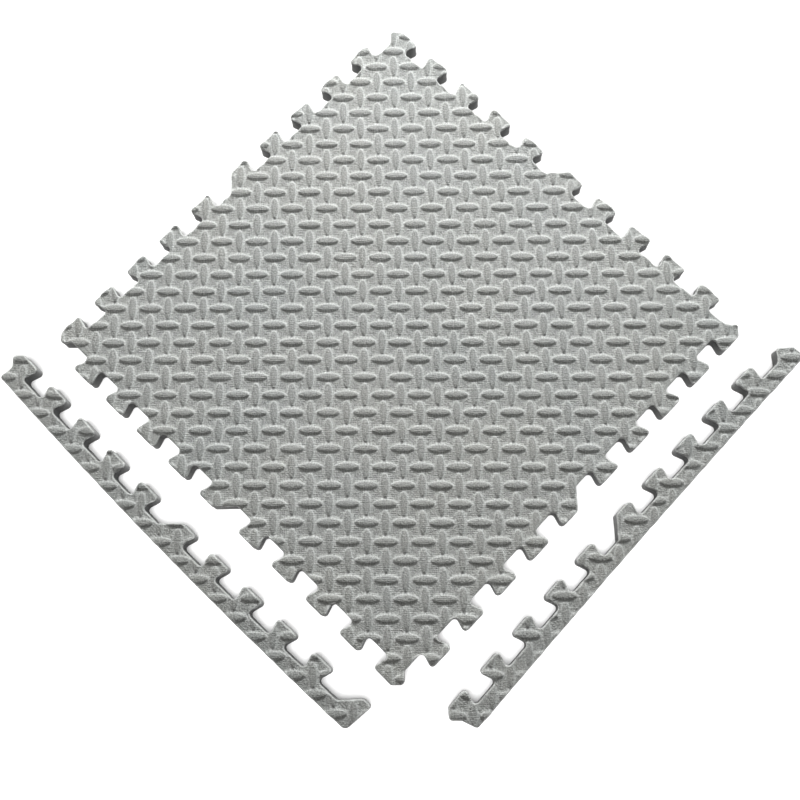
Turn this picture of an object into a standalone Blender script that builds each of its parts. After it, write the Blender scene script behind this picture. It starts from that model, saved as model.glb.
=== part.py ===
"""Interlocking foam blocking mat: one square tile and its two edging strips.

Metres, +Z up. The origin is the centre of the tile's underside, the tile's
sides run along X and Y, and everything lies on the plane Z = 0.

Every side of the tile carries the same toothed profile. It is its own mirror
through the middle of the side (tooth for slot), so that any side of one tile
locks into any side of the next, and the strips are cut to the same profile.
"""

import math

import bmesh
import bpy
from mathutils import Matrix, Vector

# ---------------------------------------------------------------- dimensions
MODULE = 0.3000            # centre distance of two tiles locked together
THICKNESS = 0.0110         # foam sheet, without the raised tread pattern
TOOTH_DEPTH = 0.0108       # crown of a tooth to the floor of the slots
TOOTH_PITCH = 0.0285       # tooth to tooth along a side
TOOTH_NECK = 0.0106        # a tooth at its root = a slot at its mouth
TOOTH_CROWN = TOOTH_PITCH - TOOTH_NECK
FIRST_TOOTH = 0.0241       # first whole tooth from the middle of a side
TEETH_PER_HALF = 5
CORNER_RADIUS = 0.0023     # every corner of the toothed profile

STRIP_BAND = 0.0100        # strip's plain band, slot floor to outer edge
STRIP_FIT = 0.0003         # gap of a strip's teeth in the tile's slots
LEFT_END_REACH = 0.0124    # left strip's corner block, past the tile's module
RIGHT_END_REACH = 0.0096   # right strip's clipped end, past the tile's module
RIGHT_END_PEAK = 0.0068    # height of that clipped end over the slot floor
RIGHT_END_SLANT = 0.0030   # slant of the right strip's other end
END_RADIUS = 0.0035        # outer corner of the left strip's corner block

# Where the strips lie, measured from their seats in the tile's sides.
LEFT_STRIP_AWAY, LEFT_STRIP_ALONG = 0.0270, -0.0172
RIGHT_STRIP_AWAY, RIGHT_STRIP_ALONG = 0.0290, 0.0030

FILLET_STEPS = 3

HALF = MODULE / 2
BODY_HALF = HALF - TOOTH_DEPTH / 2        # centre of the tile to a slot floor
FOAM_GREY = (0.44, 0.46, 0.44, 1.0)
STRIP_GREY = (0.40, 0.42, 0.40, 1.0)


# ------------------------------------------------------------------ profiles
def half_profile():
    """Right half of a side, as (along, out) pairs from the middle outwards.

    out is 0 on the slot floors and TOOTH_DEPTH on the crowns. The middle of
    the side is a 45 degree face, and so is the tip at the tile's corner.
    """
    neck, crown = TOOTH_NECK / 2, TOOTH_CROWN / 2
    points = [(TOOTH_DEPTH / 2, 0.0)]
    for index in range(TEETH_PER_HALF):
        centre = FIRST_TOOTH + index * TOOTH_PITCH
        points.append((centre - neck, 0.0))
        points.append((centre - crown, TOOTH_DEPTH))
        if index < TEETH_PER_HALF - 1:
            points.append((centre + crown, TOOTH_DEPTH))
            points.append((centre + neck, 0.0))
    points.append((BODY_HALF, TOOTH_DEPTH))
    return points


def side_profile():
    """One whole side from corner tip to corner tip, left to right."""
    right = half_profile()
    left = [(-along, TOOTH_DEPTH - out) for along, out in reversed(right)]
    tip = TOOTH_DEPTH / 2
    return [(-HALF, tip)] + left + right + [(HALF, tip)]


def place(points, quarter_turns):
    """(along, out) pairs of the -Y side, turned anticlockwise in plan."""
    turn = Matrix.Rotation(quarter_turns * math.pi / 2, 2)
    return [turn @ Vector((along, -BODY_HALF - out)) for along, out in points]


def tile_outline():
    outline = []
    for quarter in range(4):
        outline += place(side_profile()[:-1], quarter)
    return outline


def strip_outline(end_points, quarter_turns):
    """A strip in its seat: the tile's side profile, closed by its own ends."""
    return place(side_profile() + end_points, quarter_turns)


def left_strip_outline():
    outer = TOOTH_DEPTH + STRIP_BAND
    ends = [
        (HALF + TOOTH_DEPTH / 2, 0.0),
        (HALF + LEFT_END_REACH, 0.0),
        (HALF + LEFT_END_REACH - 0.0022, outer),
        (-BODY_HALF, outer),
        (-BODY_HALF, TOOTH_DEPTH),
    ]
    return strip_outline(ends, 0)


def right_strip_outline():
    outer = TOOTH_DEPTH + STRIP_BAND
    peak = BODY_HALF + RIGHT_END_PEAK
    end = HALF + RIGHT_END_REACH
    ends = [
        (peak, TOOTH_DEPTH - RIGHT_END_PEAK),
        (end, TOOTH_DEPTH - RIGHT_END_PEAK + (end - peak)),
        (end, outer),
        (-BODY_HALF + RIGHT_END_SLANT, outer),
        (-BODY_HALF, TOOTH_DEPTH),
    ]
    # The tip at the tile's corner is cut off below the peak, so it goes.
    return place(side_profile()[:-1] + ends, 1)


def is_straight(before, point, after):
    return abs((point - before).cross(after - point)) < 1e-12


def tidy(points):
    """The outline without points that lie on a straight run."""
    count = len(points)
    return [points[i] for i in range(count)
            if not is_straight(points[i - 1], points[i], points[(i + 1) % count])]


def signed_area(points):
    return sum(a.cross(b) for a, b in zip(points, points[1:] + points[:1])) / 2


def inset(points, distance):
    """The closed outline moved inwards by distance, with mitred corners."""
    side = math.copysign(1.0, signed_area(points))
    moved = []
    for i, point in enumerate(points):
        before = (point - points[i - 1]).normalized()
        after = (points[(i + 1) % len(points)] - point).normalized()
        normal_in = Vector((-before.y, before.x)) * side
        normal_out = Vector((-after.y, after.x)) * side
        bisector = (normal_in + normal_out).normalized()
        moved.append(point + bisector * (distance / bisector.dot(normal_in)))
    return moved


def rounded(points, radius_of):
    """Fillet arcs at every corner of the closed outline."""
    smooth = []
    for i, point in enumerate(points):
        to_before = points[i - 1] - point
        to_after = points[(i + 1) % len(points)] - point
        angle = to_before.angle(to_after)
        radius = radius_of(point)
        cut = min(radius / math.tan(angle / 2),
                  0.45 * to_before.length, 0.45 * to_after.length)
        radius = cut * math.tan(angle / 2)
        before, after = to_before.normalized(), to_after.normalized()
        centre = point + (before + after).normalized() * math.hypot(cut, radius)
        start, finish = point + before * cut - centre, point + after * cut - centre
        sweep = start.angle_signed(finish)
        for step in range(FILLET_STEPS + 1):
            turn = Matrix.Rotation(-sweep * step / FILLET_STEPS, 2)
            smooth.append(centre + turn @ start)
    return smooth


# -------------------------------------------------------------------- solids
def foam_material(name, colour):
    material = bpy.data.materials.new(name)
    material.use_nodes = True
    shader = material.node_tree.nodes["Principled BSDF"]
    shader.inputs["Base Color"].default_value = colour
    shader.inputs["Roughness"].default_value = 0.8
    shader.inputs["Metallic"].default_value = 0.0
    return material


def sheet(name, outline, location, material, collection):
    """A flat piece of foam sheet: a filled outline, extruded and made a mesh."""
    curve = bpy.data.curves.new(name + "_outline", "CURVE")
    curve.dimensions = "2D"
    curve.fill_mode = "BOTH"
    curve.extrude = THICKNESS / 2
    curve.render_resolution_u = 0
    spline = curve.splines.new("POLY")
    spline.points.add(len(outline) - 1)
    for point, corner in zip(spline.points, outline):
        point.co = (corner.x, corner.y, 0.0, 1.0)
    spline.use_cyclic_u = True
    guide = bpy.data.objects.new(name + "_guide", curve)
    collection.objects.link(guide)
    guide.location = location + Vector((0.0, 0.0, THICKNESS / 2))
    bpy.context.view_layer.update()

    evaluated = guide.evaluated_get(bpy.context.evaluated_depsgraph_get())
    mesh = bpy.data.meshes.new_from_object(evaluated)
    mesh.name = name
    work = bmesh.new()
    work.from_mesh(mesh)
    bmesh.ops.remove_doubles(work, verts=work.verts, dist=1e-6)
    bmesh.ops.recalc_face_normals(work, faces=work.faces)
    work.to_mesh(mesh)
    work.free()
    mesh.materials.clear()
    mesh.materials.append(material)

    piece = bpy.data.objects.new(name, mesh)
    collection.objects.link(piece)
    piece.matrix_world = guide.matrix_world.copy()
    bpy.data.objects.remove(guide)
    bpy.data.curves.remove(curve)
    return piece


def build():
    for item in list(bpy.data.objects):
        bpy.data.objects.remove(item)
    parts = bpy.data.collections.new("foam_blocking_mat")
    bpy.context.scene.collection.children.link(parts)

    tile_foam = foam_material("tile_foam", FOAM_GREY)
    strip_foam = foam_material("strip_foam", STRIP_GREY)

    def profile_radius(_point):
        return CORNER_RADIUS

    def left_radius(point):
        far_corner = point.x > HALF and point.y < -HALF
        return END_RADIUS if far_corner else CORNER_RADIUS

    sheet("mat_tile", rounded(tidy(tile_outline()), profile_radius),
          Vector((0.0, 0.0, 0.0)), tile_foam, parts)

    # Each strip's object is the strip in its seat, moved out to where it lies.
    sheet("edge_strip_left",
          rounded(inset(tidy(left_strip_outline()), STRIP_FIT), left_radius),
          Vector((LEFT_STRIP_ALONG, -LEFT_STRIP_AWAY, 0.0)), strip_foam, parts)
    sheet("edge_strip_right",
          rounded(inset(tidy(right_strip_outline()), STRIP_FIT), profile_radius),
          Vector((RIGHT_STRIP_AWAY, RIGHT_STRIP_ALONG, 0.0)), strip_foam, parts)


build()
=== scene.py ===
import math

import bpy
from mathutils import Matrix, Vector, geometry, noise


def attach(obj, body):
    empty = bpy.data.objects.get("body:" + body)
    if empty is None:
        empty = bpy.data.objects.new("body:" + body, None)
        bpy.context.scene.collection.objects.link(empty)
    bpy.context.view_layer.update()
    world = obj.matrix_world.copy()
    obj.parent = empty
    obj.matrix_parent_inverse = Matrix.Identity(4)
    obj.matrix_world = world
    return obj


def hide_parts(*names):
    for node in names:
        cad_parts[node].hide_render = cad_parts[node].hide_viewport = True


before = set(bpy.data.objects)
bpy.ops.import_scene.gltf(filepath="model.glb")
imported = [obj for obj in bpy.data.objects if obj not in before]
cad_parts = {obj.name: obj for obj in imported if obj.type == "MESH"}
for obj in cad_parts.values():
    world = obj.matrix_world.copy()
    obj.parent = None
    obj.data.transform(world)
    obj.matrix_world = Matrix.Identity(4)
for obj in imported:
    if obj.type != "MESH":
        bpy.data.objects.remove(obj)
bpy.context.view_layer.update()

# ------------------------------------------------------------------ outlines
# The same dimensions and outline functions as the CAD part, in metres.
MODULE = 0.3000
THICKNESS = 0.0110
TOOTH_DEPTH = 0.0108
TOOTH_PITCH = 0.0285
TOOTH_NECK = 0.0106
TOOTH_CROWN = TOOTH_PITCH - TOOTH_NECK
FIRST_TOOTH = 0.0241
TEETH_PER_HALF = 5
CORNER_RADIUS = 0.0023

STRIP_BAND = 0.0100
STRIP_FIT = 0.0003
LEFT_END_REACH = 0.0124
RIGHT_END_REACH = 0.0096
RIGHT_END_PEAK = 0.0068
RIGHT_END_SLANT = 0.0030
END_RADIUS = 0.0035

LEFT_STRIP_AWAY, LEFT_STRIP_ALONG = 0.0270, -0.0172
RIGHT_STRIP_AWAY, RIGHT_STRIP_ALONG = 0.0290, 0.0030

FILLET_STEPS = 5

HALF = MODULE / 2
BODY_HALF = HALF - TOOTH_DEPTH / 2


def half_profile():
    neck, crown = TOOTH_NECK / 2, TOOTH_CROWN / 2
    points = [(TOOTH_DEPTH / 2, 0.0)]
    for index in range(TEETH_PER_HALF):
        centre = FIRST_TOOTH + index * TOOTH_PITCH
        points.append((centre - neck, 0.0))
        points.append((centre - crown, TOOTH_DEPTH))
        if index < TEETH_PER_HALF - 1:
            points.append((centre + crown, TOOTH_DEPTH))
            points.append((centre + neck, 0.0))
    points.append((BODY_HALF, TOOTH_DEPTH))
    return points


def side_profile():
    right = half_profile()
    left = [(-along, TOOTH_DEPTH - out) for along, out in reversed(right)]
    tip = TOOTH_DEPTH / 2
    return [(-HALF, tip)] + left + right + [(HALF, tip)]


def place(points, quarter_turns):
    turn = Matrix.Rotation(quarter_turns * math.pi / 2, 2)
    return [turn @ Vector((along, -BODY_HALF - out)) for along, out in points]


def tile_outline():
    outline = []
    for quarter in range(4):
        outline += place(side_profile()[:-1], quarter)
    return outline


def left_strip_outline():
    outer = TOOTH_DEPTH + STRIP_BAND
    ends = [
        (HALF + TOOTH_DEPTH / 2, 0.0),
        (HALF + LEFT_END_REACH, 0.0),
        (HALF + LEFT_END_REACH - 0.0022, outer),
        (-BODY_HALF, outer),
        (-BODY_HALF, TOOTH_DEPTH),
    ]
    return place(side_profile() + ends, 0)


def right_strip_outline():
    outer = TOOTH_DEPTH + STRIP_BAND
    peak = BODY_HALF + RIGHT_END_PEAK
    end = HALF + RIGHT_END_REACH
    ends = [
        (peak, TOOTH_DEPTH - RIGHT_END_PEAK),
        (end, TOOTH_DEPTH - RIGHT_END_PEAK + (end - peak)),
        (end, outer),
        (-BODY_HALF + RIGHT_END_SLANT, outer),
        (-BODY_HALF, TOOTH_DEPTH),
    ]
    return place(side_profile()[:-1] + ends, 1)


def is_straight(before, point, after):
    return abs((point - before).cross(after - point)) < 1e-12


def tidy(points):
    count = len(points)
    return [points[i] for i in range(count)
            if not is_straight(points[i - 1], points[i], points[(i + 1) % count])]


def signed_area(points):
    return sum(a.cross(b) for a, b in zip(points, points[1:] + points[:1])) / 2


def inset(points, distance):
    side = math.copysign(1.0, signed_area(points))
    moved = []
    for i, point in enumerate(points):
        before = (point - points[i - 1]).normalized()
        after = (points[(i + 1) % len(points)] - point).normalized()
        normal_in = Vector((-before.y, before.x)) * side
        normal_out = Vector((-after.y, after.x)) * side
        bisector = (normal_in + normal_out).normalized()
        moved.append(point + bisector * (distance / bisector.dot(normal_in)))
    return moved


def rounded(points, radius_of):
    smooth = []
    for i, point in enumerate(points):
        to_before = points[i - 1] - point
        to_after = points[(i + 1) % len(points)] - point
        angle = to_before.angle(to_after)
        radius = radius_of(point)
        cut = min(radius / math.tan(angle / 2),
                  0.45 * to_before.length, 0.45 * to_after.length)
        radius = cut * math.tan(angle / 2)
        before, after = to_before.normalized(), to_after.normalized()
        centre = point + (before + after).normalized() * math.hypot(cut, radius)
        start, finish = point + before * cut - centre, point + after * cut - centre
        sweep = start.angle_signed(finish)
        for step in range(FILLET_STEPS + 1):
            turn = Matrix.Rotation(-sweep * step / FILLET_STEPS, 2)
            smooth.append(centre + turn @ start)
    return smooth


# ------------------------------------------------------- embossed tread lugs
# Two sets of raised oval lugs at right angles, laid diagonally over the sheet
# like tread plate. The pattern is pressed into the sheet before it is cut, so
# that it runs on over teeth and is cut off wherever the outline goes.
LUG_STEP = 0.011275         # from a lug to its neighbours of the other set
LUG_ORIGIN = Vector((0.00505, -0.00253))
# the strips were cut from other places of the sheet, a little askew
LEFT_LUG_ORIGIN, LEFT_LUG_TURN = Vector((0.0025, -0.1895)), math.radians(0.7)
RIGHT_LUG_ORIGIN, RIGHT_LUG_TURN = Vector((0.1838, -0.0011)), math.radians(-1.2)
LUG_HALF_LENGTH = 0.00750
LUG_HALF_WIDTH = 0.00264
LUG_HEIGHT = 0.00138
LUG_BELLY = 0.53            # power of the oval's outline, 0.5 is an ellipse
# the roller leaves the two rows a little off square to each other
U_AXIS = Matrix.Rotation(math.radians(45.0 - 1.54), 2) @ Vector((1.0, 0.0))
V_AXIS = Matrix.Rotation(math.radians(-45.0 + 0.11), 2) @ Vector((1.0, 0.0))


def hash01(a, b, salt):
    """A repeatable number from 0 to 1 for a pair of whole numbers."""
    value = math.sin(a * 127.1 + b * 311.7 + salt * 74.7) * 43758.5453
    return value - math.floor(value)


def soft(x, y, scale, salt):
    """Smooth noise, about -1 to 1, with features of the given size."""
    return noise.noise(Vector((x / scale, y / scale, salt * 7.31)))


class Lug:
    """One raised oval: centre, unit vector of its length, and its own sizes."""

    def __init__(self, u, v, origin, salt, turn):
        turned = Matrix.Rotation(turn, 2)
        self.centre = origin + turned @ (U_AXIS * u + V_AXIS * v) * LUG_STEP
        lying = (u + v) % 2 == 0
        angle = 0.02 * (hash01(u, v, salt) - 0.5)
        self.along = U_AXIS if lying else V_AXIS
        self.along = Matrix.Rotation(angle + turn, 2) @ self.along
        self.across = Vector((-self.along.y, self.along.x))
        self.length = LUG_HALF_LENGTH * (1 + 0.05 * (hash01(u, v, salt + 1) - 0.5))
        self.width = LUG_HALF_WIDTH * (1 + 0.08 * (hash01(u, v, salt + 2) - 0.5))
        self.height = LUG_HEIGHT * (1 + 0.16 * (hash01(u, v, salt + 3) - 0.5))
        self.centre = self.centre + Vector((hash01(u, v, salt + 4) - 0.5,
                                            hash01(u, v, salt + 5) - 0.5)) * 0.00025

    def half_width(self, t):
        return self.width * max(1.0 - t * t, 0.0) ** LUG_BELLY

    def point(self, ring, phi):
        """A point of the ring-th smaller copy of the foot outline."""
        sine = math.sin(phi)
        side = math.copysign(abs(sine) ** (2 * LUG_BELLY), sine)
        return (self.centre + self.along * (ring * self.length * math.cos(phi))
                + self.across * (ring * self.width * side))

    def closeness(self, point):
        """0 in the middle of the lug, 1 on its foot line, more outside."""
        offset = point - self.centre
        t = offset.dot(self.along) / self.length
        s = offset.dot(self.across) / self.width
        return math.sqrt(t * t + abs(s) ** (1 / LUG_BELLY)) if abs(t) < 1.3 and abs(s) < 1.3 else 9.0

    def rise(self, point):
        offset = point - self.centre
        t = offset.dot(self.along) / self.length
        if abs(t) >= 1.0:
            return 0.0
        wide = self.half_width(t)
        if wide <= 1e-7:
            return 0.0
        s = offset.dot(self.across) / wide
        if abs(s) >= 1.0:
            return 0.0
        return self.height * (1 - t * t) ** 0.38 * (1 - s * s) ** 0.42


def lug_grid(origin, low, high, salt, turn):
    """Every lug whose middle lies in or near the box."""
    lugs = {}
    reach = 2 * LUG_HALF_LENGTH
    corners = [Vector((x, y)) - origin for x in (low.x, high.x) for y in (low.y, high.y)]
    us = [corner.dot(U_AXIS) / LUG_STEP for corner in corners]
    vs = [corner.dot(V_AXIS) / LUG_STEP for corner in corners]
    for u in range(math.floor(min(us)) - 2, math.ceil(max(us)) + 3):
        for v in range(math.floor(min(vs)) - 2, math.ceil(max(vs)) + 3):
            lug = Lug(u, v, origin, salt, turn)
            if (low.x - reach < lug.centre.x < high.x + reach
                    and low.y - reach < lug.centre.y < high.y + reach):
                lugs[(u, v)] = lug
    return lugs


# ------------------------------------------------------------ outline helper
class Rim:
    """Distance from a point to a closed outline, through a grid of buckets."""

    CELL = 0.004

    def __init__(self, outline):
        self.edges = list(zip(outline, outline[1:] + outline[:1]))
        self.cells = {}
        for index, (a, b) in enumerate(self.edges):
            x0, x1 = sorted((a.x, b.x))
            y0, y1 = sorted((a.y, b.y))
            for i in range(math.floor(x0 / self.CELL) - 1, math.floor(x1 / self.CELL) + 2):
                for j in range(math.floor(y0 / self.CELL) - 1, math.floor(y1 / self.CELL) + 2):
                    self.cells.setdefault((i, j), []).append(index)
        self.low = Vector((min(p.x for p in outline), min(p.y for p in outline)))
        self.high = Vector((max(p.x for p in outline), max(p.y for p in outline)))
        self.rows = {}
        for index, (a, b) in enumerate(self.edges):
            y0, y1 = sorted((a.y, b.y))
            for j in range(math.floor(y0 / self.CELL), math.floor(y1 / self.CELL) + 1):
                self.rows.setdefault(j, []).append(index)

    def distance(self, point):
        """Distance to the outline, or CELL where it is further than that."""
        near = self.cells.get((math.floor(point.x / self.CELL), math.floor(point.y / self.CELL)))
        if not near:
            return self.CELL
        best = self.CELL
        for index in near:
            a, b = self.edges[index]
            run = b - a
            t = max(0.0, min(1.0, (point - a).dot(run) / max(run.length_squared, 1e-18)))
            best = min(best, (point - a - run * t).length)
        return best

    def inside(self, point):
        odd = False
        for index in self.rows.get(math.floor(point.y / self.CELL), ()):
            a, b = self.edges[index]
            if (a.y > point.y) != (b.y > point.y):
                if point.x < a.x + (point.y - a.y) * (b.x - a.x) / (b.y - a.y):
                    odd = not odd
        return odd


def divided(outline, step):
    """The closed outline with its long runs divided and no doubled points."""
    outline = [point for i, point in enumerate(outline)
               if (point - outline[i - 1]).length > 0.00003]
    points = []
    for a, b in zip(outline, outline[1:] + outline[:1]):
        pieces = max(1, round((b - a).length / step))
        points += [a + (b - a) * (i / pieces) for i in range(pieces)]
    return points


def wavered(outline, amount, scale, salt):
    """The outline with the slight waver of a hand-trimmed or pressed edge."""
    side = math.copysign(1.0, signed_area(outline))
    count = len(outline)
    moved = []
    for i, point in enumerate(outline):
        run = (outline[(i + 1) % count] - outline[i - 1]).normalized()
        normal = Vector((-run.y, run.x)) * side
        wave = soft(point.x, point.y, scale, salt) + 0.45 * soft(point.x, point.y, scale / 3.1, salt + 3)
        moved.append(point + normal * (amount * wave))
    return moved


# ------------------------------------------------------------- foam sheeting
RIM_STEPS = (0.0, 0.00010, 0.00028, 0.00054, 0.00086, 0.00122)
RIM_WIDTH = 0.00115         # the pressed round of the top edge, across
RIM_RADIUS = 0.00105        # and down
FOOT_FILLET = 0.00035


def sheet_mesh(name, outline, origin, turn, salt, waver, depth_of, lug_rings=(1.0, 0.94, 0.84, 0.66, 0.38),
               ring_points=26):
    """A cut piece of embossed foam sheet as one closed mesh.

    The top is triangulated through the rings of every lug, the sides carry a
    row of points for the slightly hollow cut face, and the underside is flat.
    """
    outline = divided(outline, 0.0016)
    outline = wavered(outline, waver, 0.016, salt)
    if signed_area(outline) < 0:
        outline.reverse()
    rim = Rim(outline)
    lugs = lug_grid(origin, rim.low, rim.high, salt, turn)
    near = {}
    for lug in lugs.values():
        for i in range(math.floor((lug.centre.x - lug.length) / 0.008), math.floor((lug.centre.x + lug.length) / 0.008) + 1):
            for j in range(math.floor((lug.centre.y - lug.length) / 0.008), math.floor((lug.centre.y + lug.length) / 0.008) + 1):
                near.setdefault((i, j), []).append(lug)

    def lug_rise(point):
        return max((lug.rise(point) for lug in near.get((math.floor(point.x / 0.008), math.floor(point.y / 0.008)), ())), default=0.0)

    # ---- points of the top
    loops = []
    points = []
    for ring in RIM_STEPS:
        loop = outline if ring == 0.0 else inset(outline, ring)
        loops.append((len(points), len(loop)))
        points += loop
    fixed = len(points)
    keep = RIM_STEPS[-1] + 0.00025
    for lug in lugs.values():
        if lug.centre.x < rim.low.x - 0.009 or lug.centre.x > rim.high.x + 0.009:
            continue
        whole = rim.distance(lug.centre) >= Rim.CELL and rim.inside(lug.centre)
        near_edge = not whole or any(
            rim.distance(lug.point(1.1, k * math.pi / 4)) < Rim.CELL for k in range(8))
        for number, ring in enumerate((1.0 + FOOT_FILLET / lug.width,) + tuple(lug_rings)):
            count = max(8, round(ring_points * (1.0 if number < 3 else 0.55 + 0.45 * ring)))
            for k in range(count):
                phi = 2 * math.pi * (k + 0.5 * (number % 2)) / count
                if number == 0:
                    base = lug.point(1.0, phi)
                    run = lug.point(1.0, phi + 0.01) - lug.point(1.0, phi - 0.01)
                    point = base + Vector((run.y, -run.x)).normalized() * FOOT_FILLET
                else:
                    point = lug.point(ring, phi)
                if near_edge and (not rim.inside(point) or rim.distance(point) < keep):
                    continue
                points.append(point)
        for t in (-0.2, 0.0, 0.2):
            point = lug.centre + lug.along * (t * lug.length)
            if near_edge and (not rim.inside(point) or rim.distance(point) < keep):
                continue
            points.append(point)
    # open ground between the lugs
    step = LUG_STEP / 5
    low, high = rim.low, rim.high
    corners = [Vector((x, y)) - origin for x in (low.x, high.x) for y in (low.y, high.y)]
    us = [corner.dot(U_AXIS) / step for corner in corners]
    vs = [corner.dot(V_AXIS) / step for corner in corners]
    for i in range(math.floor(min(us)) - 6, math.ceil(max(us)) + 7):
        for j in range(math.floor(min(vs)) - 6, math.ceil(max(vs)) + 7):
            point = origin + (U_AXIS * i + V_AXIS * j) * step
            if not (low.x < point.x < high.x and low.y < point.y < high.y):
                continue
            if not rim.inside(point) or rim.distance(point) < keep + 0.0003:
                continue
            clear = True
            for lug in near.get((math.floor(point.x / 0.008), math.floor(point.y / 0.008)), ()):
                offset = point - lug.centre
                t = offset.dot(lug.along) / (lug.length + 0.0008)
                if abs(t) < 1 and abs(offset.dot(lug.across)) < (lug.width + 0.0009) * max(1 - t * t, 0.0) ** 0.5:
                    clear = False
                    break
            if clear:
                points.append(point)

    edges = []
    for start, count in loops:
        edges += [(start + i, start + (i + 1) % count) for i in range(count)]
    found, _, faces, origins, _, _ = geometry.delaunay_2d_cdt(points, edges, [], 1, 1e-7)

    # ---- heights
    def top(point):
        ground = 0.00012 * soft(point.x, point.y, 0.034, salt) + 0.00005 * soft(point.x, point.y, 0.009, salt + 1)
        return THICKNESS + ground + lug_rise(point)

    owner = [min(group) if group else -1 for group in origins]
    outer_of = {}
    verts = []
    for index, point in enumerate(found):
        z = top(point)
        gap = rim.distance(point)
        if owner[index] != -1 and owner[index] < loops[0][1]:
            gap = 0.0
            outer_of[owner[index]] = index
        if gap < RIM_WIDTH:
            z -= RIM_RADIUS * (1.0 - math.sqrt(max(1.0 - (1.0 - gap / RIM_WIDTH) ** 2, 0.0)))
        verts.append(Vector((point.x, point.y, z)))
    inside_faces = []
    for face in faces:
        centre = sum((found[i] for i in face), Vector((0.0, 0.0))) / len(face)
        if rim.inside(centre):
            inside_faces.append(tuple(face))
    polygons = list(inside_faces)
    slots = [0] * len(polygons)

    # ---- cut sides: rows from the top edge down to the underside
    count = loops[0][1]
    normals = []
    for i in range(count):
        run = (outline[(i + 1) % count] - outline[i - 1]).normalized()
        normals.append(Vector((-run.y, run.x)))
    previous = [outer_of[i] for i in range(count)]
    rows = ((0.90, 0.00003), (0.72, 0.00016), (0.5, 0.00022), (0.28, 0.00017), (0.10, 0.00006), (0.03, 0.0))
    for level, hollow in rows:
        current = []
        for i, point in enumerate(outline):
            jitter = 0.00006 * soft(point.x + level * 0.05, point.y - level * 0.03, 0.0022, salt + 5)
            place_in = point + normals[i] * (hollow + jitter)
            current.append(len(verts))
            verts.append(Vector((place_in.x, place_in.y, (THICKNESS - RIM_RADIUS) * level)))
        for i in range(count):
            j = (i + 1) % count
            polygons.append((previous[j], previous[i], current[i], current[j]))
            slots.append(1)
        previous = current
    # ---- underside, with a small round at its edge
    under_outline = inset(outline, 0.00025)
    current = []
    for point in under_outline:
        current.append(len(verts))
        verts.append(Vector((point.x, point.y, 0.0)))
    for i in range(count):
        j = (i + 1) % count
        polygons.append((previous[j], previous[i], current[i], current[j]))
        slots.append(1)
    under_points = list(under_outline)
    rim_under = Rim(under_outline)
    step = 0.006
    for i in range(math.floor(low.x / step), math.ceil(high.x / step) + 1):
        for j in range(math.floor(low.y / step), math.ceil(high.y / step) + 1):
            point = Vector((i * step, j * step))
            if rim_under.inside(point) and rim_under.distance(point) > 0.002:
                under_points.append(point)
    found_u, _, faces_u, origins_u, _, _ = geometry.delaunay_2d_cdt(
        under_points, [(i, (i + 1) % count) for i in range(count)], [], 1, 1e-7)
    index_of = {}
    for index, point in enumerate(found_u):
        source = min(origins_u[index]) if origins_u[index] else -1
        if 0 <= source < count:
            index_of[index] = current[source]
        else:
            index_of[index] = len(verts)
            verts.append(Vector((point.x, point.y, 0.0)))
    for face in faces_u:
        centre = sum((found_u[i] for i in face), Vector((0.0, 0.0))) / len(face)
        if rim_under.inside(centre):
            polygons.append(tuple(index_of[i] for i in reversed(face)))
            slots.append(2)

    # how near a point is to a lug's foot line or to the top edge, where the skin gets a painted highlight, and how
    # deep it lies in a slot, where the cut side gets painted shade
    foot = [0.0] * len(verts)
    for index, point in enumerate(found):
        near_here = near.get((math.floor(point.x / 0.008), math.floor(point.y / 0.008)), ())
        closest = min((lug.closeness(point) for lug in near_here), default=9.0)
        gap = rim.distance(point)
        foot[index] = max(0.0, 1.0 - abs(closest - 1.03) / 0.12,
                          0.85 * (1.0 - abs(gap - 0.0005) / 0.0005))

    deep = [depth_of(vert) for vert in verts]

    mesh = bpy.data.meshes.new(name)
    mesh.from_pydata([tuple(v) for v in verts], [], polygons)
    # "deep" sets the painted shade of the cut sides, "foot" the painted highlight of the skin
    mesh.attributes.new("deep", "FLOAT", "POINT").data.foreach_set("value", deep)
    mesh.attributes.new("foot", "FLOAT", "POINT").data.foreach_set("value", foot)
    mesh.polygons.foreach_set("material_index", slots)
    mesh.polygons.foreach_set("use_smooth", [True] * len(polygons))
    mesh.update()
    return mesh


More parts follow.
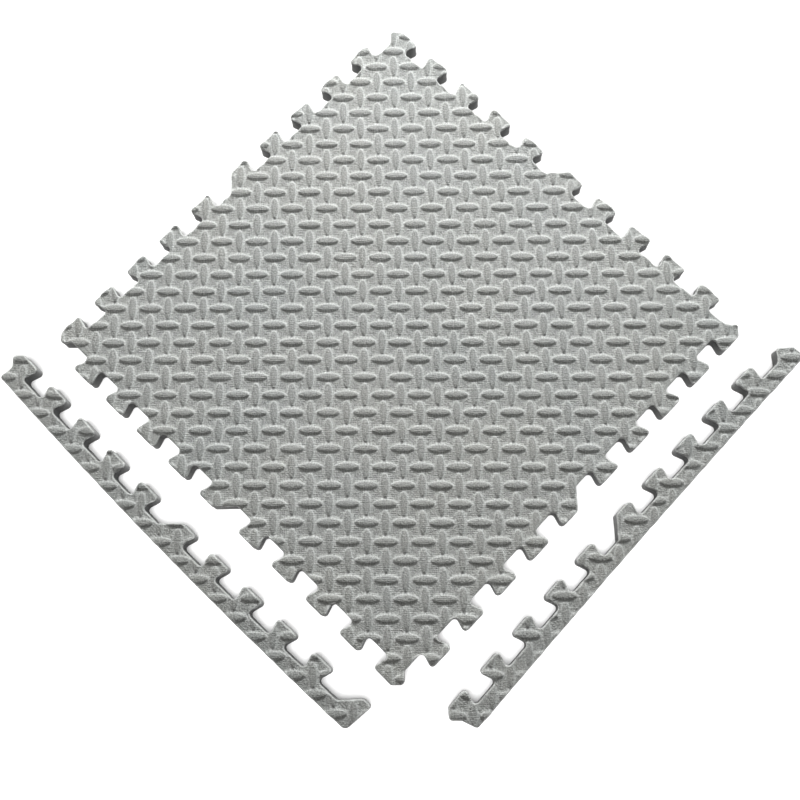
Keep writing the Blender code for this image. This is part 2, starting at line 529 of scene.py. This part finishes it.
# ---------------------------------------------------------------- materials
class Nodes:
    """Short hand for building a node tree."""

    def __init__(self, material):
        material.use_nodes = True
        self.tree = material.node_tree
        self.tree.nodes.clear()

    def add(self, kind, **settings):
        node = self.tree.nodes.new(kind)
        for key, value in settings.items():
            setattr(node, key, value)
        return node

    def link(self, source, target):
        self.tree.links.new(source, target)

    def put(self, socket, value):
        if isinstance(value, bpy.types.NodeSocket):
            self.link(value, socket)
        else:
            socket.default_value = value

    def math(self, operation, a, b=0.0, clamp=False):
        node = self.add("ShaderNodeMath", operation=operation, use_clamp=clamp)
        self.put(node.inputs[0], a)
        self.put(node.inputs[1], b)
        return node.outputs[0]

    def noise(self, vector, scale, detail=2.0, roughness=0.5, distortion=0.0):
        node = self.add("ShaderNodeTexNoise")
        self.link(vector, node.inputs["Vector"])
        node.inputs["Scale"].default_value = scale
        node.inputs["Detail"].default_value = detail
        node.inputs["Roughness"].default_value = roughness
        node.inputs["Distortion"].default_value = distortion
        return node.outputs["Fac"]

    def ramp(self, factor, *stops):
        node = self.add("ShaderNodeValToRGB")
        self.link(factor, node.inputs["Fac"])
        ramp = node.color_ramp
        while len(ramp.elements) < len(stops):
            ramp.elements.new(0.5)
        for element, (position, colour) in zip(ramp.elements, stops):
            element.position = position
            element.color = colour
        return node.outputs["Color"]

    def mix(self, factor, a, b, blend="MIX"):
        node = self.add("ShaderNodeMix", data_type="RGBA", blend_type=blend)
        self.put(node.inputs[0], factor)
        self.put(node.inputs[6], a)
        self.put(node.inputs[7], b)
        return node.outputs[2]

    def spread(self, factor, low, high):
        """A 0..1 noise value mapped to low..high."""
        node = self.add("ShaderNodeMapRange")
        self.link(factor, node.inputs["Value"])
        node.inputs["From Min"].default_value = 0.3
        node.inputs["From Max"].default_value = 0.7
        node.inputs["To Min"].default_value = low
        node.inputs["To Max"].default_value = high
        return node.outputs[0]


def grey(value, warm=0.0, green=0.0):
    return (value * (1 + warm), value * (1 + green), value * (1 - warm), 1.0)


def skin_material(name, base, grain):
    """The embossed skin of the sheet: matt closed-cell foam, finely linen-lined."""
    material = bpy.data.materials.new(name)
    n = Nodes(material)
    coordinates = n.add("ShaderNodeTexCoord").outputs["Object"]
    turned = n.add("ShaderNodeMapping")
    turned.inputs["Rotation"].default_value = (0.0, 0.0, -math.pi / 4)
    n.link(coordinates, turned.inputs["Vector"])
    along = turned.outputs["Vector"]

    # linen lines: fine ridges along one way, a weaker set across them
    wobble = n.noise(along, 160.0, 2.0)
    split = n.add("ShaderNodeSeparateXYZ")
    n.link(along, split.inputs[0])
    wander = n.math("MULTIPLY", wobble, 0.0011)
    rows = n.math("SINE", n.math("MULTIPLY", n.math("ADD", split.outputs["Y"], wander), 2 * math.pi / 0.00118))
    threads = n.math("SINE", n.math("MULTIPLY", n.math("ADD", split.outputs["X"], wander), 2 * math.pi / 0.00131))
    stretched = n.add("ShaderNodeMapping")
    stretched.inputs["Rotation"].default_value = (0.0, 0.0, -math.pi / 4)
    stretched.inputs["Scale"].default_value = (0.22, 1.0, 1.0)
    n.link(coordinates, stretched.inputs["Vector"])
    streaks = n.noise(stretched.outputs["Vector"], 1100.0, 3.0, 0.6)
    fine = n.noise(along, 2600.0, 2.0, 0.6)
    pores = n.noise(along, 900.0, 3.0, 0.7)
    patches = n.noise(along, 46.0, 3.0, 0.55)

    linen = n.math("ADD", n.math("MULTIPLY", rows, 0.34), n.math("MULTIPLY", threads, 0.20))
    linen = n.math("MULTIPLY", linen, n.spread(patches, 0.45, 1.15))
    relief = n.math("ADD", linen, n.math("MULTIPLY", streaks, 1.7))
    relief = n.math("ADD", relief, n.math("MULTIPLY", pores, 7.0 * grain))
    relief = n.math("ADD", relief, n.math("MULTIPLY", fine, 1.0 * grain))

    # colour: wide pale and greenish clouds, small mottling and light specks
    clouds = n.noise(coordinates, 9.0, 3.0, 0.5)
    tint = n.noise(coordinates, 17.0, 2.0, 0.5, 0.4)
    colour = n.ramp(clouds, (0.30, grey(base * 0.94, -0.008, 0.034)), (0.70, grey(base * 1.06, 0.006, 0.018)))
    colour = n.mix(n.spread(tint, 0.0, 0.75), colour, grey(base * 1.01, 0.034, 0.034))
    mottle = n.noise(coordinates, 240.0, 3.0, 0.6)
    colour = n.mix(1.0, colour, n.ramp(mottle, (0.3, grey(0.955)), (0.7, grey(1.0))), "MULTIPLY")
    dust = n.ramp(pores, (0.36, grey(0.76 - 0.05 * grain)), (0.5, grey(0.97)), (0.64, grey(1.0 + 0.30 * grain)))
    colour = n.mix(1.0, colour, dust, "MULTIPLY")
    weave = n.math("ADD", n.math("MULTIPLY", rows, 0.18), n.math("MULTIPLY", n.math("MULTIPLY", rows, threads), 0.32))
    weave = n.math("ADD", n.math("MULTIPLY", weave, n.spread(patches, 0.5, 1.0)), 0.5)
    colour = n.mix(1.0, colour, n.ramp(weave, (0.0, grey(0.86)), (1.0, grey(1.13))), "MULTIPLY")

    # painted highlight: the skin is painted up to 2.6 times paler in a line along the foot of every lug and along the
    # top edges
    foot = n.add("ShaderNodeAttribute", attribute_name="foot").outputs["Fac"]
    painted_highlight_mix = n.math("MULTIPLY", foot, n.spread(mottle, 0.55, 1.0))
    colour = n.mix(painted_highlight_mix, colour, grey(base * 2.6, 0.0, 0.014))

    bump = n.add("ShaderNodeBump")
    bump.inputs["Strength"].default_value = 1.0
    bump.inputs["Distance"].default_value = 0.00016
    n.link(relief, bump.inputs["Height"])

    shader = n.add("ShaderNodeBsdfPrincipled")
    n.link(colour, shader.inputs["Base Color"])
    n.link(n.spread(pores, 0.38, 0.54), shader.inputs["Roughness"])
    n.link(bump.outputs["Normal"], shader.inputs["Normal"])
    shader.inputs["Specular IOR Level"].default_value = 0.72
    shader.inputs["Sheen Weight"].default_value = 0.08
    shader.inputs["Sheen Roughness"].default_value = 0.5
    output = n.add("ShaderNodeOutputMaterial")
    n.link(shader.outputs[0], output.inputs["Surface"])
    return material


def cut_material(name, base):
    """The die-cut side of the foam: open cells and drag lines, in a darker grey that is partly the open cells and
    partly painted shade.
    """
    material = bpy.data.materials.new(name)
    n = Nodes(material)
    coordinates = n.add("ShaderNodeTexCoord").outputs["Object"]
    cells = n.add("ShaderNodeTexVoronoi", feature="F1")
    cells.inputs["Scale"].default_value = 1900.0
    n.link(coordinates, cells.inputs["Vector"])
    drag_space = n.add("ShaderNodeMapping")
    drag_space.inputs["Scale"].default_value = (1.0, 1.0, 0.12)
    n.link(coordinates, drag_space.inputs["Vector"])
    drag = n.noise(drag_space.outputs["Vector"], 900.0, 3.0, 0.6)
    mottle = n.noise(coordinates, 330.0, 3.0, 0.6)
    relief = n.math("ADD", n.math("MULTIPLY", cells.outputs["Distance"], 1.0), n.math("MULTIPLY", drag, 1.4))
    colour = n.ramp(mottle, (0.32, grey(base * 0.88, 0.0, 0.012)), (0.68, grey(base * 1.05, 0.004, 0.012)))
    colour = n.mix(1.0, colour, n.ramp(cells.outputs["Distance"], (0.1, grey(0.86)), (0.55, grey(1.0))), "MULTIPLY")
    # dust and deep shade in the slots of the toothed sides
    # painted shade: the cut side is painted darker, down to about a third of its grey, the deeper it lies in a slot of
    # the toothed sides
    deep = n.add("ShaderNodeAttribute", attribute_name="deep").outputs["Fac"]
    colour = n.mix(n.math("MULTIPLY", deep, n.spread(mottle, 0.85, 1.0)), colour, grey(base * 0.34, 0.0, 0.012))
    bump = n.add("ShaderNodeBump")
    bump.inputs["Strength"].default_value = 0.8
    bump.inputs["Distance"].default_value = 0.00012
    n.link(relief, bump.inputs["Height"])
    shader = n.add("ShaderNodeBsdfPrincipled")
    n.link(colour, shader.inputs["Base Color"])
    n.link(n.spread(drag, 0.72, 0.88), shader.inputs["Roughness"])
    n.link(bump.outputs["Normal"], shader.inputs["Normal"])
    shader.inputs["Specular IOR Level"].default_value = 0.3
    output = n.add("ShaderNodeOutputMaterial")
    n.link(shader.outputs[0], output.inputs["Surface"])
    return material


def under_material(name, base):
    """The flat underside: the same foam, pressed to a fine woven grid."""
    material = bpy.data.materials.new(name)
    n = Nodes(material)
    coordinates = n.add("ShaderNodeTexCoord").outputs["Object"]
    split = n.add("ShaderNodeSeparateXYZ")
    n.link(coordinates, split.inputs[0])
    wobble = n.math("MULTIPLY", n.noise(coordinates, 120.0, 2.0), 0.0006)
    warp = n.math("SINE", n.math("MULTIPLY", n.math("ADD", split.outputs["X"], wobble), 2 * math.pi / 0.0016))
    weft = n.math("SINE", n.math("MULTIPLY", n.math("ADD", split.outputs["Y"], wobble), 2 * math.pi / 0.0016))
    pores = n.noise(coordinates, 1500.0, 3.0, 0.6)
    clouds = n.noise(coordinates, 14.0, 3.0, 0.5)
    relief = n.math("ADD", n.math("MULTIPLY", warp, weft), n.math("MULTIPLY", pores, 1.1))
    colour = n.ramp(clouds, (0.3, grey(base * 0.93, 0.0, 0.015)), (0.7, grey(base * 1.03, 0.004, 0.012)))
    colour = n.mix(1.0, colour, n.ramp(pores, (0.34, grey(0.88)), (0.6, grey(1.0))), "MULTIPLY")
    bump = n.add("ShaderNodeBump")
    bump.inputs["Strength"].default_value = 0.8
    bump.inputs["Distance"].default_value = 0.00012
    n.link(relief, bump.inputs["Height"])
    shader = n.add("ShaderNodeBsdfPrincipled")
    n.link(colour, shader.inputs["Base Color"])
    n.link(n.spread(pores, 0.6, 0.76), shader.inputs["Roughness"])
    n.link(bump.outputs["Normal"], shader.inputs["Normal"])
    shader.inputs["Specular IOR Level"].default_value = 0.4
    output = n.add("ShaderNodeOutputMaterial")
    n.link(shader.outputs[0], output.inputs["Surface"])
    return material


TILE_BASE = 0.256
STRIP_BASE = 0.250
tile_skin = skin_material("tile_skin", TILE_BASE, 1.0)
strip_skin = skin_material("strip_skin", STRIP_BASE, 1.35)
# the cut sides are painted darker than the skin, partly for their open cells and partly as painted shade
tile_cut = cut_material("tile_cut_edge", TILE_BASE * 0.66)
strip_cut = cut_material("strip_cut_edge", STRIP_BASE * 0.66)
tile_under = under_material("tile_underside", TILE_BASE * 0.92)
strip_under = under_material("strip_underside", STRIP_BASE * 0.94)


# ------------------------------------------------------------------- pieces
def lay(mesh, middle, along, outward, bow):
    """Bend a strip as the loose foam lies: bow gives its outward shift in
    metres at the middle, per end-to-middle length, and per its square."""
    middle, along, outward = Vector(middle), Vector(along), Vector(outward)
    for vertex in mesh.vertices:
        s = (vertex.co - middle).dot(along) / HALF
        vertex.co += outward * (bow[0] + bow[1] * s + bow[2] * s * s)
    mesh.update()


def foam_piece(name, node, body, outline, origin, turn, salt, waver, depth_of, materials):
    mesh = sheet_mesh(name, outline, origin, turn, salt, waver, depth_of)
    for material in materials:
        mesh.materials.append(material)
    piece = bpy.data.objects.new(name, mesh)
    bpy.context.scene.collection.objects.link(piece)
    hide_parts(node)
    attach(piece, body)
    return piece


def tooth_radius(point):
    return CORNER_RADIUS


def left_radius(point):
    return END_RADIUS if point.x > HALF and point.y < -HALF else CORNER_RADIUS


def tile_depth(point):
    """How deep in a slot of the tile's side a point lies: 0 at a crown, 1 on
    the slot's floor. The cut side is painted darker there, as painted shade."""
    out = max(abs(point.x), abs(point.y)) - BODY_HALF
    return min(1.0, max(0.0, 1.0 - out / TOOTH_DEPTH))


def strip_depth(reach):
    """The same in the slots of a strip, from its distance out from the tile."""
    out = reach - BODY_HALF
    return 0.0 if out > TOOTH_DEPTH + 0.003 else min(1.0, max(0.0, out / TOOTH_DEPTH))


def moved(outline, dx, dy):
    return [point + Vector((dx, dy)) for point in outline]


tile_foam = foam_piece(
    "tile_foam", "mat_tile", "tile",
    rounded(tidy(tile_outline()), tooth_radius), LUG_ORIGIN, 0.0, 1, 0.00008, tile_depth,
    (tile_skin, tile_cut, tile_under))
left_foam = foam_piece(
    "left_strip_foam", "edge_strip_left", "left_strip",
    moved(rounded(inset(tidy(left_strip_outline()), STRIP_FIT), left_radius),
          LEFT_STRIP_ALONG, -LEFT_STRIP_AWAY),
    LEFT_LUG_ORIGIN, LEFT_LUG_TURN, 2, 0.00022,
    lambda point: strip_depth(-point.y - LEFT_STRIP_AWAY),
    (strip_skin, strip_cut, strip_under))
right_foam = foam_piece(
    "right_strip_foam", "edge_strip_right", "right_strip",
    moved(rounded(inset(tidy(right_strip_outline()), STRIP_FIT), tooth_radius),
          RIGHT_STRIP_AWAY, RIGHT_STRIP_ALONG),
    RIGHT_LUG_ORIGIN, RIGHT_LUG_TURN, 3, 0.00028,
    lambda point: strip_depth(point.x - RIGHT_STRIP_AWAY),
    (strip_skin, strip_cut, strip_under))


lay(left_foam.data, (LEFT_STRIP_ALONG, 0.0, 0.0), (1.0, 0.0, 0.0), (0.0, -1.0, 0.0), (0.0025, 0.0006, -0.0031))
lay(right_foam.data, (0.0, RIGHT_STRIP_ALONG, 0.0), (0.0, 1.0, 0.0), (1.0, 0.0, 0.0), (-0.0005, -0.0023, 0.0014))


# ------------------------------------------------------------ floor, lights
def floor_material():
    material = bpy.data.materials.new("pale_floor")
    n = Nodes(material)
    coordinates = n.add("ShaderNodeTexCoord").outputs["Object"]
    colour = n.ramp(n.noise(coordinates, 3.0, 2.0), (0.3, grey(0.90)), (0.7, grey(0.92)))
    shader = n.add("ShaderNodeBsdfPrincipled")
    n.link(colour, shader.inputs["Base Color"])
    shader.inputs["Roughness"].default_value = 0.9
    shader.inputs["Specular IOR Level"].default_value = 0.1
    output = n.add("ShaderNodeOutputMaterial")
    n.link(shader.outputs[0], output.inputs["Surface"])
    return material


floor_mesh = bpy.data.meshes.new("floor")
floor_mesh.from_pydata([(-40, -40, -0.0002), (40, -40, -0.0002), (40, 40, -0.0002), (-40, 40, -0.0002)], [], [(0, 1, 2, 3)])
floor_mesh.materials.append(floor_material())
floor = bpy.data.objects.new("floor", floor_mesh)
bpy.context.scene.collection.objects.link(floor)

foam_set = bpy.data.collections.new("lit_foam")
for piece in (tile_foam, left_foam, right_foam):
    foam_set.objects.link(piece)
floor_set = bpy.data.collections.new("lit_floor")
floor_set.objects.link(floor)


def area_light(name, direction, distance, size, power, receivers=None, target=(0.0, 0.0, 0.0), size_y=None,
               colour=(1.0, 1.0, 1.0)):
    data = bpy.data.lights.new(name, "AREA")
    data.shape = "RECTANGLE" if size_y else "SQUARE"
    data.size = size
    if size_y:
        data.size_y = size_y
    data.energy = power
    data.color = colour
    light = bpy.data.objects.new(name, data)
    bpy.context.scene.collection.objects.link(light)
    toward = Vector(direction).normalized()
    light.location = Vector(target) + toward * distance
    light.rotation_euler = toward.to_track_quat("Z", "Y").to_euler()
    if receivers is not None:
        light.light_linking.receiver_collection = receivers
    return light


away = Vector((-1.0, 1.0, 0.0)).normalized()
rightward = Vector((1.0, 1.0, 0.0)).normalized()
up = Vector((0.0, 0.0, 1.0))


def aim(azimuth, elevation):
    """A direction: degrees from the far side towards the right, and above level."""
    a, e = math.radians(azimuth), math.radians(elevation)
    return (away * math.cos(a) + rightward * math.sin(a)) * math.cos(e) + up * math.sin(e)


area_light("key", aim(4, 31), 1.1, 0.4, 23.5, foam_set, size_y=0.3, colour=(0.985, 1.0, 0.992))
area_light("side_right", aim(74, 20), 1.6, 0.8, 10.0, foam_set, size_y=0.3, colour=(0.94, 0.99, 1.0))
area_light("side_left", aim(-74, 20), 1.6, 0.8, 8.0, foam_set, size_y=0.3)

# an even wash over the floor alone, as a wide sky panel gives
wash = bpy.data.lights.new("floor_wash", "SUN")
wash.energy = 5.0
wash.angle = math.radians(45.0)
wash_light = bpy.data.objects.new("floor_wash", wash)
bpy.context.scene.collection.objects.link(wash_light)
wash_light.location = aim(-160, 78) * 2.2
wash_light.rotation_euler = aim(-160, 78).to_track_quat("Z", "Y").to_euler()
wash_light.light_linking.receiver_collection = floor_set

world = bpy.data.worlds.new("studio")
world.use_nodes = True
room = world.node_tree.nodes["Background"]
room.inputs["Color"].default_value = (1.0, 0.985, 0.95, 1.0)
room.inputs["Strength"].default_value = 0.20
# the backdrop seen past the floor is as pale as the floor
backdrop = world.node_tree.nodes.new("ShaderNodeBackground")
backdrop.inputs["Color"].default_value = (1.0, 1.0, 1.0, 1.0)
backdrop.inputs["Strength"].default_value = 0.95
rays = world.node_tree.nodes.new("ShaderNodeLightPath")
either = world.node_tree.nodes.new("ShaderNodeMixShader")
world.node_tree.links.new(rays.outputs["Is Camera Ray"], either.inputs[0])
world.node_tree.links.new(room.outputs[0], either.inputs[1])
world.node_tree.links.new(backdrop.outputs[0], either.inputs[2])
world.node_tree.links.new(either.outputs[0], world.node_tree.nodes["World Output"].inputs["Surface"])
bpy.context.scene.world = world
bpy.context.scene.view_settings.view_transform = "Standard"
bpy.context.scene.view_settings.look = "None"

# ------------------------------------------------------------------- camera
FOCAL = 1027.57 / 800 * 36.0
azimuth, elevation, roll = math.radians(50.557), math.radians(76.505), math.radians(-6.948)
target = Vector((0.02881, -0.02771, 0.0))
distance = 0.64449
back = Vector((math.sin(azimuth) * math.cos(elevation), -math.cos(azimuth) * math.cos(elevation), math.sin(elevation)))
right = Vector((math.cos(azimuth), math.sin(azimuth), 0.0))
above = back.cross(right)
side = right * math.cos(roll) + above * math.sin(roll)
top_way = above * math.cos(roll) - right * math.sin(roll)
camera_data = bpy.data.cameras.new("camera")
camera_data.sensor_fit = "HORIZONTAL"
camera_data.sensor_width = 36.0
camera_data.lens = FOCAL
camera_data.clip_start = 0.01
camera_data.clip_end = 50.0
camera = bpy.data.objects.new("camera", camera_data)
bpy.context.scene.collection.objects.link(camera)
pose = Matrix((side, top_way, back)).transposed().to_4x4()
pose.translation = target + back * distance
camera.matrix_world = pose
bpy.context.scene.camera = camera
